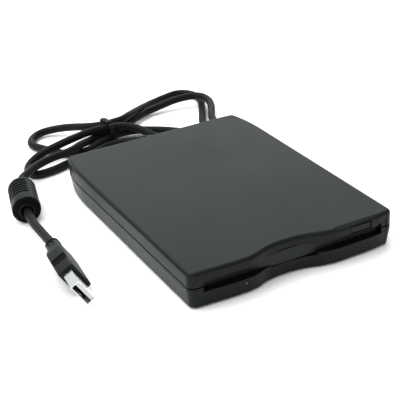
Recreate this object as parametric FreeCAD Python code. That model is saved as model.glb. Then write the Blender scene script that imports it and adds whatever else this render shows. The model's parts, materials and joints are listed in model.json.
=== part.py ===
import FreeCAD, Part
import math
import os

os.makedirs("parts", exist_ok=True)
V = FreeCAD.Vector

# Frame: origin under the middle of the drive on the resting surface, +X right seen from
# the front, front at -Y, +Z up.  All lengths in millimetres.

# ---- the disk it is built round ----
DISK_W = 90.0
DISK_T = 3.3

# ---- mechanism ----
# It is drawn with its own y = 0, MECH_FRONT behind the front of the case.
MECH_FRONT = 71.75
SHEET = 0.6
HOLDER_X = DISK_W / 2 + 0.3              # inside half width of the disk holder
SLIDER_X = HOLDER_X + SHEET + 0.2        # inside half width of the eject slider
CHASSIS_T = 0.5
CHASSIS_X = SLIDER_X + SHEET + 0.3 + CHASSIS_T
CHASSIS_Z = 2.4
DECK = CHASSIS_Z + CHASSIS_T             # top of the chassis floor
CHASSIS_Y = (-60.0, 62.0)
CHASSIS_TOP = 13.5
BOARD_T = 0.6
BOARD_TOP = DECK + BOARD_T
MEDIA_Z = 7.85                           # plane of the disk's film when loaded
DROP = 2.0                               # the holder comes down by this when a disk loads
TRAVEL = 5.0                             # the eject slider comes forward by this
SPINDLE_Y = -18.25
HEAD_TRAVEL = 14.8125                    # 79 tracks of 0.1875 mm
PITCH = 3.75                             # lead of the screw: one track per 18 degrees
HOLDER_Y = (-60.0, 27.5)
HOLDER_Z = MEDIA_Z - DISK_T / 2 + DROP - 0.15      # inside floor of the raised holder
HOLDER_H = DISK_T + 0.3
HOLDER_TOP = HOLDER_Z + HOLDER_H
PLATE = 0.55                             # thickness of the holder's top
PIN_R = 0.8
PIN_GAP = 0.2
PIN_Y = (-45.0, 12.0)
PIN_Z = 10.0
SLIDER_Z = (6.0, 14.95, 15.45)           # foot of its walls, underside and top of its plate
LEVER_PIVOT = (-38.0, 22.0)
LEVER_R = 26.0
LEVER_Z = HOLDER_TOP + PLATE + 0.3
LEVER_REST = -62.0                       # direction of the lever at rest, degrees
LEVER_SWING = 65.0
ROD_X = 10.5
ROD_Z = 8.6
ROD_R = 1.5
SCREW_X = 21.0
SCREW_Z = 9.3
SCREW_R = 1.5
FOLLOWER_Y = 48.0                        # where the follower pin meets the screw at rest
ARM_AXIS = (48.5, 13.6)                  # y, z of the upper arm's hinge
ARM_Z = (13.1, 14.3)
HUB_R = 11.5
ROTOR_R = 14.5

# ---- case ----
AIR_X = 3.2                              # room between chassis and side wall
WALL = 2.0                               # side walls
HALF_W = CHASSIS_X + AIR_X + WALL        # half width of the case
HALF_L = 71.75                           # half length of the case
HEIGHT = 18.0                            # top face above the resting surface
FOOT_H = 0.6                             # how far the rubber feet stand out
FLOOR_TOP = 2.2                          # inside of the lower shell's floor
ROOF = 16.2                              # inside of the upper shell's top
DRAFT = 0.9                              # the lower shell is this much narrower at its bottom
FOOT_BEVEL = 0.5
MID_Z = 9.0                              # height of the widest outline
TOP_ROUND = 1.7                          # rounding of the top edge
BEVEL = (21.0, 2.5, 0.8)                 # right of this x the top front edge is cut: depth, height
SEAM = 0.7                               # height of the shadow groove at the parting line
SEAM_DEPTH = 0.9
# front edge seen from above, left to right, as (x, depth behind the foremost point)
FRONT = [(-48.9, 0.75), (-37.7, 0.2), (-26.0, 0.0), (-22.2, 0.25), (-18.2, 1.25),
         (-13.8, 3.0), (-8.4, 4.1), (-1.9, 4.4), (4.1, 3.95), (9.6, 2.75),
         (14.8, 1.1), (20.0, 0.15), (30.7, 0.15), (41.0, 0.45), (48.9, 1.5)]
OUT_Y = -HALF_L - 8.0                    # cutting tools at the front run from here
IN_Y = -HALF_L + 7.75                    # to here
SIDE_FRONT = 4.2                         # the straight side starts this far behind the front
TAPER = 23.2                             # the rear narrows over this length
REAR_IN = (0.4, 1.2, 2.5)                # by this much a third, two thirds and all of the way
REAR_ROUND = 3.0
FOOT_R = 5.0
FOOT_SINK = 0.5                          # how deep the feet sit in the shell
POST_TOP = 9.4                           # where the case's screw posts meet
PARTING = (10.45, 9.9)                   # height of the parting line at the front and rear

# ---- disk slot, door, button, lamp ----
SLOT = (-DISK_W / 2 - 1.1, DISK_W / 2 + 1.3, 8.0)  # x0, x1 and z of the sill
BROW_Z = 11.75                           # lower edge of the upper shell over the slot
BROW_LEAN = [(14.2, 0.0), (13.5, 0.25), (12.8, 0.65), (12.2, 1.2), (BROW_Z, 1.9)]   # z, depth
END_NOTCH = (2.3, 13.4)                  # width and top of the slot's taller right end
ARCH = [(-17.6, BROW_Z), (-15.7, 12.3), (-10.6, 13.3), (-4.0, 13.95), (0.0, 14.05),
        (4.1, 13.9), (8.0, 13.3), (12.5, 12.3), (14.6, BROW_Z)]
END_PANEL = (49.2, 14.4, 0.25)           # right end, top and depth of the sunk panel beside it
NOTCH = (-10.9, 12.4, 6.9)               # x0, x1, z of the notch under the door's tongue
TONGUE_Z = 7.6                           # lower edge of that tongue
DOOR_GAP = 0.25                          # air around the door in the slot
DOOR_T = 0.7
DOOR_DEPTH = 4.15                        # front face of the door behind the foremost point
DOOR_AXIS_Z = 13.0
DOOR_PIN_R = 0.5
DOOR_STEP = (-16.2, 13.2)                # between these the door keeps below the arch
RUN = 0.1                                # radial clearance of a running fit
SILL_T = 0.8
SILL_DEPTH = 5.5                         # the sill's rear edge behind the foremost point
BUTTON = (28.9, 39.4, 13.4, 16.5)        # x0, x1, z0, z1
BUTTON_AIR = (0.3, 0.6, 0.3, 0.4)        # left of it, right of it, under it and over it
BUTTON_DEPTH = 0.35
BUTTON_WELL = 12.5                       # its opening runs this far back, partly into the roof
LAMP = (-25.3, 5.8, 1.25)                # x, z, radius of the lamp lens

# ---- cord ----
CORD_R = 2.2
RELIEF = (8.0, 6.5)                      # x, z of the cord's exit in the rear wall
RELIEF_L = 13.0                          # from the rear wall to the tip of the strain relief
CORD_SHIFT = V(0, HALF_L - MECH_FRONT, 0)
ROUTE = [
    (8.0, 84.75, 6.5), (8.0, 92.0, 6.5), (5.5, 99.0, 3.0), (-8.75, 107.25, 2.3), (-27.0, 98.75, 2.3),
    (-40.25, 96.0, 2.3), (-51.25, 91.5, 2.3), (-63.75, 91.0, 2.3), (-63.0, 103.0, 2.3),
    (-53.25, 108.25, 5.8), (-36.75, 110.75, 8.3), (-14.75, 117.0, 8.8), (5.0, 112.0, 8.3),
    (14.0, 97.75, 3.0), (22.0, 84.75, 2.3), (34.0, 78.75, 2.3), (44.0, 84.75, 2.3), (45.25, 101.0, 2.3),
    (55.0, 118.25, 2.3), (65.75, 141.25, 2.3), (58.0, 154.25, 2.3), (42.25, 151.25, 2.3),
    (28.25, 143.25, 3.6), (11.0, 126.5, 8.2), (2.5, 120.75, 8.4), (-14.0, 121.0, 8.4),
    (-25.75, 138.25, 5.2), (-40.5, 146.0, 2.3), (-51.0, 132.5, 2.3), (-44.0, 118.75, 2.3),
    (-38.0, 108.05, 2.3), (-27.5, 103.25, 2.3), (-14.25, 111.0, 3.0), (4.25, 115.75, 3.5),
    (18.25, 109.75, 2.5), (28.0, 98.75, 3.2), (30.0, 88.75, 4.6), (38.5, 82.75, 7.0), (46.75, 86.75, 7.3),
    (49.75, 97.75, 7.3), (56.25, 108.5, 7.3), (61.5, 121.25, 7.3), (60.0, 132.75, 7.3),
    (46.25, 134.5, 6.8), (33.75, 136.25, 3.2), (22.0, 132.75, 2.3), (4.0, 121.55, 3.5),
    (-13.0, 118.75, 3.5), (-20.5, 112.5, 4.6), (-29.25, 104.25, 7.6), (-37.75, 98.5, 7.6),
    (-50.5, 97.25, 7.3), (-62.25, 91.0, 7.3), (-69.25, 84.25, 7.4), (-74.25, 79.75, 7.3),
    (-84.75, 37.25, 7.3), (-85.0, 17.5, 7.6), (-85.25, 2.75, 8.4)]
BEAD_AXIS = (V(*ROUTE[-4]) - V(*ROUTE[-3])).normalize()     # towards its far end, along the cord
BEAD_END = V(*ROUTE[-3]) + BEAD_AXIS * 8.0                  # middle of the bead's near end face
BEAD_R = 7.2
BEAD_L = 25.4
CORE_R = 5.4
CORE_L = 20.0
RIB_PITCH = 2.7                          # the grooves round one side of the bead
RIBS = 6
RIB_START = 7.5
TIE = (-7.8, 2.4, 0.9)                   # x, width and thickness of the band
TIE_INSIDE = (110.0, 123.8, 0.9, 11.2)   # y0, y1, z0, z1 of the hole it leaves
PLUG_START = V(*ROUTE[-1])
PLUG_AXIS = V(-0.0955, -0.9954, 0.0)
PLUG_ROLL = 58.0                         # the plug lies on its edge, turned this far
GRIP = (15.2, 7.8, 22.4)                 # width, thickness, length of the plug's grip
NECK_L = 12.5
USB = (12.0, 4.5, 12.0)                  # the metal shell and how far it stands out
USB_T = 0.3
TONGUE_T = 1.8
PAD_Z = 23.2                             # the recessed finger pad on the grip's narrow sides
PAD_L = 5.0
PAD_DEPTH = 0.35


def box(x0, x1, y0, y1, z0, z1):
    return Part.makeBox(x1 - x0, y1 - y0, z1 - z0, V(x0, y0, z0))


def rod(p, d, r, length):
    return Part.makeCylinder(r, length, V(*p), V(*d))


def tube_y(x, z, y0, y1, r):
    return rod((x, y0, z), (0, 1, 0), r, y1 - y0)


def post(x, y, z0, z1, r):
    return rod((x, y, z0), (0, 0, 1), r, z1 - z0)


def fuse(shapes):
    out = shapes[0].multiFuse(shapes[1:]) if len(shapes) > 1 else shapes[0]
    return out.removeSplitter()


def prism(points, direction):
    wire = Part.makePolygon([V(*p) for p in points] + [V(*points[0])])
    return Part.Face(wire).extrude(V(*direction))


def group(shapes):
    return Part.makeCompound(shapes)


def save(shape, node, shift=None):
    if shift is not None:
        shape.translate(shift)
    shape.exportStep("parts/" + node + ".step")


def front_y(depth):
    return -HALF_L + depth


def outline(inset, z):
    """Closed outline of the case, seen from above, drawn in by inset."""
    kx = (HALF_W - inset) / HALF_W
    ky = (HALF_L - inset) / HALF_L

    def at(x, y):
        return V(x * kx, y * ky, z)

    front = Part.BSplineCurve()
    front.interpolate([at(x, front_y(d)) for x, d in FRONT])
    side_y = front_y(SIDE_FRONT)
    taper_y = HALF_L - TAPER
    rear_y = HALF_L - REAR_ROUND
    rear_x = HALF_W - REAR_IN[2]
    step = (rear_y - taper_y) / 3

    def taper(s):
        return [at(s * HALF_W, taper_y), at(s * (HALF_W - REAR_IN[0]), taper_y + step),
                at(s * (HALF_W - REAR_IN[1]), taper_y + 2 * step), at(s * rear_x, rear_y)]

    def corner(s):
        return [at(s * rear_x, rear_y), at(s * (rear_x - 1.3), HALF_L - 0.75),
                at(s * (rear_x - 3.7), HALF_L)]

    def front_corner(s, end):
        x, y = FRONT[end][0], front_y(FRONT[end][1])
        return [at(x, y), at(s * (HALF_W - 1.05), y + 0.85), at(s * HALF_W, side_y)]

    right_side = Part.BSplineCurve()
    right_side.interpolate(taper(1))
    left_side = Part.BSplineCurve()
    left_side.interpolate(taper(-1)[::-1])
    edges = [front.toShape(), Part.Arc(*front_corner(1, -1)).toShape(),
             Part.makeLine(at(HALF_W, side_y), at(HALF_W, taper_y)), right_side.toShape(),
             Part.Arc(*corner(1)).toShape(),
             Part.makeLine(at(rear_x - 3.7, HALF_L), at(3.7 - rear_x, HALF_L)),
             Part.Arc(*corner(-1)[::-1]).toShape(), left_side.toShape(),
             Part.makeLine(at(-HALF_W, taper_y), at(-HALF_W, side_y)),
             Part.Arc(*front_corner(-1, 0)[::-1]).toShape()]
    return Part.Wire(edges)


def slab(inset, z0, z1):
    return Part.Face(outline(inset, z0)).extrude(V(0, 0, z1 - z0))


def below_parting(lift):
    """Everything under the parting plane raised by lift."""
    y = HALF_L + 5
    x = HALF_W + 5
    return prism([(-x, -y, PARTING[0] + lift), (-x, y, PARTING[1] + lift), (-x, y, -5), (-x, -y, -5)],
                 (2 * x, 0, 0))


def case_body():
    foot = Part.makeLoft([outline(DRAFT + FOOT_BEVEL, FOOT_H), outline(DRAFT, FOOT_H + FOOT_BEVEL)],
                         True, True)
    lower = Part.makeLoft([outline(DRAFT, FOOT_H + FOOT_BEVEL), outline(0, MID_Z)], True, True)
    upper = slab(0, MID_Z, HEIGHT)
    top_edges = [e for e in upper.Edges if min(v.Z for v in e.Vertexes) > HEIGHT - 0.01]
    upper = upper.makeFillet(TOP_ROUND, top_edges)
    return fuse([foot, lower, upper])


def cavity():
    return slab(DRAFT + WALL, FLOOR_TOP, 6.0).fuse(slab(WALL, 6.0, ROOF))


def sill_cut():
    """What the slot takes out of the lower shell, with the notch for the door's tongue."""
    x0, x1, z = SLOT
    nx0, nx1, nz = NOTCH
    return box(x0, x1, OUT_Y, IN_Y, z, z + 8).fuse(box(nx0, nx1, OUT_Y, IN_Y, nz, z + 0.1))


def bevel_cut():
    """The flat bevel along the right part of the top front edge."""
    x, depth, h = BEVEL
    z = HEIGHT - h
    edge = [(OUT_Y, z - h), (front_y(0.1), z), (front_y(depth), HEIGHT + 0.02), (front_y(depth), HEIGHT + 2),
            (OUT_Y, HEIGHT + 2)]
    return prism([(x, y, zz) for y, zz in edge], (HALF_W, 0, 0))


def brow_cut():
    """What the slot takes out of the upper shell: opening, arch, lean and the taller right end."""
    x0, x1, z = SLOT
    width, top = END_NOTCH
    cut = [box(x0, x1, OUT_Y, IN_Y, z - 3, BROW_Z)]
    arch = [(x, OUT_Y, z) for x, z in ARCH]
    arch = [(ARCH[0][0], OUT_Y, BROW_Z - 1)] + arch + [(ARCH[-1][0], OUT_Y, BROW_Z - 1)]
    cut.append(prism(arch, (0, IN_Y - OUT_Y, 0)))
    cut.append(box(x1 - width, x1, OUT_Y, IN_Y, z - 3, top))
    lean = [(x0, front_y(d), z) for z, d in BROW_LEAN]
    lean = [(x0, OUT_Y, BROW_LEAN[0][0])] + lean + [(x0, OUT_Y, BROW_LEAN[-1][0])]
    cut.append(prism(lean, (x1 - width - x0, 0, 0)))
    bx0, bx1, bz0, bz1 = BUTTON
    left, right, below, above = BUTTON_AIR
    cut.append(box(bx0 - left, bx1 + right, OUT_Y, front_y(BUTTON_WELL), bz0 - below, bz1 + above))
    return cut


def end_panel():
    """The skin of the case right of the slot, which is sunk a little."""
    x1 = SLOT[1]
    right, top, depth = END_PANEL
    skin = slab(-1.0, SLOT[2], top).cut(slab(depth, SLOT[2] - 1, top + 1))
    return skin.common(box(x1 - 0.1, right, OUT_Y, IN_Y, SLOT[2], top))


def screw_posts():
    return [(s * (HALF_W - 8.2), HALF_L - 5.75) for s in (-1, 1)]


def chassis_posts():
    return [(s * (CHASSIS_X - dx), y) for s in (-1, 1) for dx, y in ((7.5, -56.0), (12.5, 58.0))]


def foot_places():
    return [(s * (HALF_W - 10.0), y) for s in (-1, 1) for y in (front_y(13.5), HALF_L - 15.5)]


def lower_shell(body, inside):
    shell = body.cut(inside).common(below_parting(0))
    posts = [post(x, y, FLOOR_TOP - 0.1, POST_TOP, 2.6) for x, y in screw_posts()]
    move = MECH_FRONT - HALF_L
    posts += [post(x, y + move, FLOOR_TOP - 0.1, CHASSIS_Z, 3.0) for x, y in chassis_posts()]
    x0, x1, z = SLOT
    nx0, nx1, nz = NOTCH
    wall_y = front_y(WALL - 0.5)
    sill = box(x0 - 0.5, x1 + 0.5, wall_y, front_y(SILL_DEPTH), z - SILL_T, z)
    step = box(nx0 - 1, nx1 + 1, front_y(5.0), front_y(SILL_DEPTH + 0.8), nz - SILL_T, z)
    shell = fuse([shell] + posts + [sill.common(body), step])
    shell = shell.cut(sill_cut()).cut(end_panel())
    x, z, r = LAMP
    shell = shell.cut(tube_y(x, z, OUT_Y, front_y(5), r + 0.2))
    shell = shell.cut(tube_y(RELIEF[0], RELIEF[1], HALF_L - 6, HALF_L + 8, 3.0))
    for x, y in screw_posts():
        shell = shell.cut(post(x, y, 0, POST_TOP + 1, 1.3)).cut(post(x, y, 0, 3.0, 2.2))
    for x, y in chassis_posts():
        shell = shell.cut(post(x, y + move, 1.2, 3.0, 0.75))
    for x, y in foot_places():
        shell = shell.cut(post(x, y, 0, FOOT_H + FOOT_SINK, FOOT_R))
    return shell


def upper_shell(body, inside):
    shell = body.cut(inside).cut(below_parting(0))
    rim = slab(-1.0, 5.0, 14.0).cut(slab(SEAM_DEPTH, 5.0, 14.0))
    shell = shell.cut(rim.common(below_parting(SEAM)))
    adds = [post(x, y, POST_TOP, ROOF + 0.2, 2.4) for x, y in screw_posts()]
    x0, x1, z = SLOT
    y = door_axis_y()
    for s, x in ((-1, x0), (1, x1)):
        a, b = sorted((x + s * 0.3, x + s * 1.9))
        adds.append(box(a, b, y - 2.6, y + 1.4, DOOR_AXIS_Z - 1.5, ROOF + 0.2))
    shell = fuse([shell] + adds)
    for piece in brow_cut() + [bevel_cut(), end_panel()]:
        shell = shell.cut(piece)
    shell = shell.cut(rod((x0 - 1.3, y, DOOR_AXIS_Z), (1, 0, 0), DOOR_PIN_R + RUN, x1 - x0 + 2.6))
    for x, y in screw_posts():
        shell = shell.cut(post(x, y, POST_TOP - 1, 14.2, 1.0))
    return shell


def door_axis_y():
    return front_y(DOOR_DEPTH + 0.6)


def slot_door():
    x0, x1, sill = SLOT
    nx0, nx1, nz = NOTCH
    g = DOOR_GAP
    y = front_y(DOOR_DEPTH)
    top = DOOR_AXIS_Z - 0.05
    under = [(x, z - g - 0.05) for x, z in ARCH[1:-1]]
    edge = [(x0 + g, sill + 0.2), (nx0 + g, sill + 0.2), (nx0 + g, TONGUE_Z), (nx1 - g, TONGUE_Z),
            (nx1 - g, sill + 0.2), (x1 - g, sill + 0.2), (x1 - g, top), (DOOR_STEP[1], top),
            (DOOR_STEP[1], under[-1][1])]
    edge += under[::-1] + [(DOOR_STEP[0], under[0][1]), (DOOR_STEP[0], top), (x0 + g, top)]
    plate = prism([(x, y, z) for x, z in edge], (0, DOOR_T, 0))
    axis_y = door_axis_y()
    pins = [rod((x1 - g - 0.5, axis_y, DOOR_AXIS_Z), (1, 0, 0), DOOR_PIN_R, 1.9),
            rod((x0 + g + 0.5, axis_y, DOOR_AXIS_Z), (-1, 0, 0), DOOR_PIN_R, 1.9)]
    back = y + DOOR_T
    rib = box(x0 + 6, x1 - 20, back - 0.1, back + 0.5, 10.0, 10.8)
    return fuse([plate, rib] + pins)


def helix_coil(x, y0, z, r, wire_r, pitch, turns):
    """A coil whose axis runs along +Y from y0."""
    path = Part.makeHelix(pitch, pitch * turns, r)
    ring = Part.Wire([Part.makeCircle(wire_r, V(r, 0, 0), V(0, 1, 0))])
    coil = Part.Wire(path.Edges).makePipeShell([ring], True, True)
    coil.rotate(V(0, 0, 0), V(1, 0, 0), -90)
    coil.translate(V(x, y0, z))
    return coil


def button_tongue(y0, y1):
    x0, x1, z0, z1 = BUTTON
    return box(x0 + 1.5, x1 - 1.7, y0, y1, SLIDER_Z[1], SLIDER_Z[2])


def eject_button():
    x0, x1, z0, z1 = BUTTON
    face = front_y(BUTTON_DEPTH)
    cap = box(x0, x1, face, front_y(11.75), z0, z1)
    cap = cap.makeFillet(0.4, [e for e in cap.Edges if max(v.Y for v in e.Vertexes) < face + 0.1])
    flange = box(x0 - 0.8, x1 + 0.8, front_y(9.75), front_y(10.75), z0, ROOF - 0.2)
    return cap.fuse(flange).removeSplitter().cut(button_tongue(front_y(5.75), front_y(12.75)))


def eject_slider():
    """Drawn in mechanism coordinates."""
    out = SLIDER_X + SHEET
    foot, under, top = SLIDER_Z
    plate = box(-out, out, -54.0, 0.0, under, top)
    plate = plate.cut(box(-30, 30, -46, -8, under - 1, top + 1))
    parts = [plate, button_tongue(5.75 - MECH_FRONT, -53.0)]
    n = V(0, DROP, TRAVEL).normalize() * (PIN_R + PIN_GAP)
    for s in (-1, 1):
        x0, x1 = sorted((s * SLIDER_X, s * out))
        wall = box(x0, x1, -54.0, 36.0, foot, top)
        wall = wall.cut(box(x0 - 1, x1 + 1, 1.0, 34.0, 13.2, top + 1))
        for y in PIN_Y:
            z1 = PIN_Z - DROP
            ends = [rod((x0 - 1, y, PIN_Z), (1, 0, 0), PIN_R + PIN_GAP, 3),
                    rod((x0 - 1, y + TRAVEL, z1), (1, 0, 0), PIN_R + PIN_GAP, 3)]
            middle = prism([(x0 - 1, y + n.y, PIN_Z + n.z), (x0 - 1, y + TRAVEL + n.y, z1 + n.z),
                            (x0 - 1, y + TRAVEL - n.y, z1 - n.z), (x0 - 1, y - n.y, PIN_Z - n.z)],
                           (3, 0, 0))
            wall = wall.cut(ends[0]).cut(ends[1]).cut(middle)
        t0, t1 = sorted((s * (SLIDER_X - 5.6), s * out))
        parts += [wall, box(t0, t1, 35.2, 36.0, foot, 12.0)]
    return fuse(parts)


def disk_holder():
    """Drawn raised, in mechanism coordinates."""
    out = HOLDER_X + SHEET
    z0 = HOLDER_Z - SHEET
    y0, y1 = HOLDER_Y
    parts = [box(-out, out, y0, y1, HOLDER_TOP, HOLDER_TOP + PLATE)]
    for s in (-1, 1):
        a, b = sorted((s * HOLDER_X, s * out))
        parts.append(box(a, b, y0, y1, z0, HOLDER_TOP + 0.1))
        a, b = sorted((s * (HOLDER_X - 4), s * out))
        parts.append(box(a, b, y0, y1, z0, HOLDER_Z))
        for y in PIN_Y:
            parts.append(rod((s * (out - 0.2), y, PIN_Z), (s, 0, 0), PIN_R, 1.8))
    holder = fuse(parts)
    lo, hi = HOLDER_TOP - 0.5, HOLDER_TOP + 2
    holder = holder.cut(box(-8, 8, 2.5, 40, lo, hi))
    holder = holder.cut(box(14, 36, -46, 16, lo, hi)).cut(box(-22, 6, -46, -12, lo, hi))
    px, py = LEVER_PIVOT
    w = 1.75
    ring = post(px, py, lo, hi, LEVER_R + w).cut(post(px, py, lo, hi, LEVER_R - w))
    a0 = math.radians(LEVER_REST)
    a1 = math.radians(LEVER_REST + LEVER_SWING)
    far = 60

    def ray(a, r):
        return (px + r * math.cos(a), py + r * math.sin(a), lo)

    wedge = prism([(px, py, lo), ray(a0, far), ray((a0 + a1) / 2, far * 1.2), ray(a1, far)],
                  (0, 0, hi - lo))
    holder = holder.cut(ring.common(wedge))
    for a in (a0, a1):
        x, y, z = ray(a, LEVER_R)
        holder = holder.cut(post(x, y, lo, hi, w))
    stud = post(px, py, HOLDER_TOP + 0.3, LEVER_Z + 1.0, 1.5)
    return holder.fuse(stud).removeSplitter()


def shutter_lever():
    px, py = LEVER_PIVOT
    a = math.radians(LEVER_REST)
    tx, ty = px + LEVER_R * math.cos(a), py + LEVER_R * math.sin(a)
    nx, ny = -math.sin(a) * 2.4, math.cos(a) * 2.4
    z0, z1 = LEVER_Z, LEVER_Z + SHEET
    bar = prism([(px + nx, py + ny, z0), (px - nx, py - ny, z0),
                 (tx - nx * 0.7, ty - ny * 0.7, z0), (tx + nx * 0.7, ty + ny * 0.7, z0)], (0, 0, z1 - z0))
    parts = [bar, post(px, py, z0, z1, 3.4), post(tx, ty, z0, z1, 2.0),
             post(tx, ty, HOLDER_Z + 0.6, z1, 1.4)]
    return fuse(parts).cut(post(px, py, z0 - 1, z1 + 1, 1.5 + RUN))


def chassis():
    """Drawn in mechanism coordinates, like everything it carries."""
    y0, y1 = CHASSIS_Y
    foot = DECK - 0.1
    floor = box(-CHASSIS_X, CHASSIS_X, y0, y1, CHASSIS_Z, DECK)
    tail = box(-38, 38, y1 - 1, y1 + 4, CHASSIS_Z, DECK)
    parts = [floor, tail]
    r = PIN_R + PIN_GAP
    for s in (-1, 1):
        a, b = sorted((s * (CHASSIS_X - CHASSIS_T), s * CHASSIS_X))
        wall = box(a, b, y0, y1, CHASSIS_Z, CHASSIS_TOP)
        for y in PIN_Y:
            wall = wall.cut(box(a - 1, b + 1, y - r, y + r, PIN_Z - DROP - r, PIN_Z + r))
        a, b = sorted((s * (SLIDER_X - 5.6), s * (SLIDER_X - 0.1)))
        parts += [wall, box(a, b, 48.6, 49.4, foot, 12.0)]
        a, b = sorted((s * (ROD_X - 2.4), s * (ROD_X + 2.4)))
        parts += [box(a, b, 29.0, 29.8, foot, 11.0), box(a, b, 57.0, 58.0, foot, 11.0)]
    parts += [box(SCREW_X - 3, SCREW_X + 3, 29.0, 30.6, foot, 12.0)]
    parts += [box(SCREW_X - 7, SCREW_X + 7, 54.0, 54.8, foot, 15.4)]
    frame = fuse(parts)
    for x, y in chassis_posts():
        frame = frame.cut(post(x, y, 2, 4, 0.9))
    for s in (-1, 1):
        frame = frame.cut(tube_y(s * ROD_X, ROD_Z, 28, 60, ROD_R))
    frame = frame.cut(tube_y(SCREW_X, SCREW_Z, 28, 60, SCREW_R + 0.05))
    frame = frame.cut(post(0, SPINDLE_Y, 2, 4, 1.6))
    return frame


def boards():
    side = CHASSIS_X - 5.5
    main = box(-side, side, -54, 0, DECK, BOARD_TOP)
    main = main.fuse(box(-side, -16, -1, 30, DECK, BOARD_TOP)).removeSplitter()
    for x, y in chassis_posts():
        main = main.cut(post(x, y, 2, 5, 2.6))
    z0, z1 = 5.2, 6.2
    usb = box(-38, -15, 34, 56, z0, z1)
    t = BOARD_TOP
    chips = [box(-36, -26, 8, 18, t, t + 1.2), box(22, 32, -50, -42, t, t + 1.0),
             box(-34, -25, -52, -45, t, t + 1.0)]
    usb_chips = [box(-33, -23, 40, 50, z1, z1 + 1.4), box(-21, -17, 36, 40, z1, z1 + 2.0),
                 box(-20, -16.5, 44, 52, z1, z1 + 2.8)]
    legs = [box(x, x + 3, y, y + 2.2, DECK, z0) for x in (-36.5, -19.5) for y in (35.0, 52.0)]
    return main, group(chips), usb, group(usb_chips), group(legs)


def spindle():
    stator = post(0, SPINDLE_Y, BOARD_TOP, 4.0, 9.0)
    bearing = post(0, SPINDLE_Y, BOARD_TOP, 4.3, 2.4)
    bore = post(0, SPINDLE_Y, 3, 6, 1.0 + 0.03)
    stator = stator.fuse(bearing).removeSplitter().cut(bore)
    plate_z = 4.5
    hub_z = 5.05
    hub_top = MEDIA_Z - DISK_T / 2 - 0.1
    cup = post(0, SPINDLE_Y, plate_z, hub_z, ROTOR_R)
    rim = post(0, SPINDLE_Y, 3.9, plate_z + 0.1, ROTOR_R).cut(post(0, SPINDLE_Y, 3, 6, ROTOR_R - 1))
    rotor = fuse([cup, rim, post(0, SPINDLE_Y, 3.6, hub_z + 0.6, 1.0)])
    hub = post(0, SPINDLE_Y, hub_z, hub_top, HUB_R)
    hub = hub.fuse(post(0, SPINDLE_Y, hub_top - 0.1, hub_top + 1.4, 2.0))
    hub = hub.removeSplitter().cut(post(0, SPINDLE_Y, hub_z - 0.1, hub_z + 0.6, 1.0))
    hub = hub.cut(post(10.0, SPINDLE_Y, 4, 9, 0.95))
    pin = post(10.0, SPINDLE_Y, hub_z, hub_top + 0.9, 0.95)
    return stator, rotor, hub, pin


def carriage():
    foot = 4.0
    block = box(-14.5, 14.5, 45.0, 52.0, foot, 12.4)
    arm = box(-6, 6, 15.5, 46.0, foot, 5.6)
    y, z = ARM_AXIS
    ears = [box(x, x + 1.4, y - 1.6, y + 1.6, 12.0, z + 1.2) for x in (5.0, -6.4)]
    finger = box(14.0, 19.1, 47.1, 48.9, 8.3, 10.3)
    tip = rod((19.0, FOLLOWER_Y, SCREW_Z), (1, 0, 0), 0.4, 0.85)
    body = fuse([block, arm, finger, tip] + ears)
    for s in (-1, 1):
        body = body.cut(tube_y(s * ROD_X, ROD_Z, 44, 53, ROD_R + 0.06))
    body = body.cut(rod((-8, y, z), (1, 0, 0), 0.6 + 0.08, 16))
    body = body.cut(box(-2, 2, 30, 40, 3, 7))
    head = box(-3, 3, 18.0, 23.5, 5.6, MEDIA_Z)
    plate = box(-4.4, 4.4, 18.0, 50.0, ARM_Z[0], ARM_Z[1])
    pin = rod((-6.4, y, z), (1, 0, 0), 0.6, 12.8)
    upper = plate.fuse(pin).removeSplitter()
    upper = upper.cut(box(-2, 2, 28, 42, ARM_Z[0] - 1, ARM_Z[1] + 1))
    pad = box(-2.6, 2.6, 19.0, 22.0, ARM_Z[0] - 0.65, ARM_Z[0])
    return body, head, upper, pad


def lead_screw():
    start = FOLLOWER_Y - PITCH * 4.5
    shaft = tube_y(SCREW_X, SCREW_Z, 29.2, 54.7, SCREW_R)
    turns = 6
    path = Part.makeHelix(PITCH, PITCH * turns, SCREW_R)
    w, d = 0.6, 0.5
    pts = [V(SCREW_R - d, 0, -w), V(SCREW_R + d, 0, -w), V(SCREW_R + d, 0, w), V(SCREW_R - d, 0, w)]
    cutter = Part.Wire(path.Edges).makePipeShell([Part.makePolygon(pts + [pts[0]])], True, True)
    cutter.rotate(V(0, 0, 0), V(1, 0, 0), -90)
    cutter.translate(V(SCREW_X, start, SCREW_Z))
    return shaft.cut(cutter)


def gland():
    x, z = RELIEF
    wall = HALF_L
    neck = tube_y(x, z, wall - 3.15, wall, 3.0)
    inner = box(x - 4, x + 4, wall - 5.2, wall - 3.1, z - 3.0, z + 3.0)
    collar = tube_y(x, z, wall, wall + 1.8, 4.0)
    cone = Part.makeCone(3.7, CORD_R + 0.55, RELIEF_L - 1.8, V(x, wall + 1.8, z), V(0, 1, 0))
    body = fuse([neck, inner, collar, cone])
    for d in (3.8, 6.2, 8.6, 10.8):
        ring = tube_y(x, z, wall + d, wall + d + 1.0, 5.0).cut(tube_y(x, z, wall, wall + RELIEF_L, 2.55))
        body = body.cut(ring)
    return body


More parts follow.
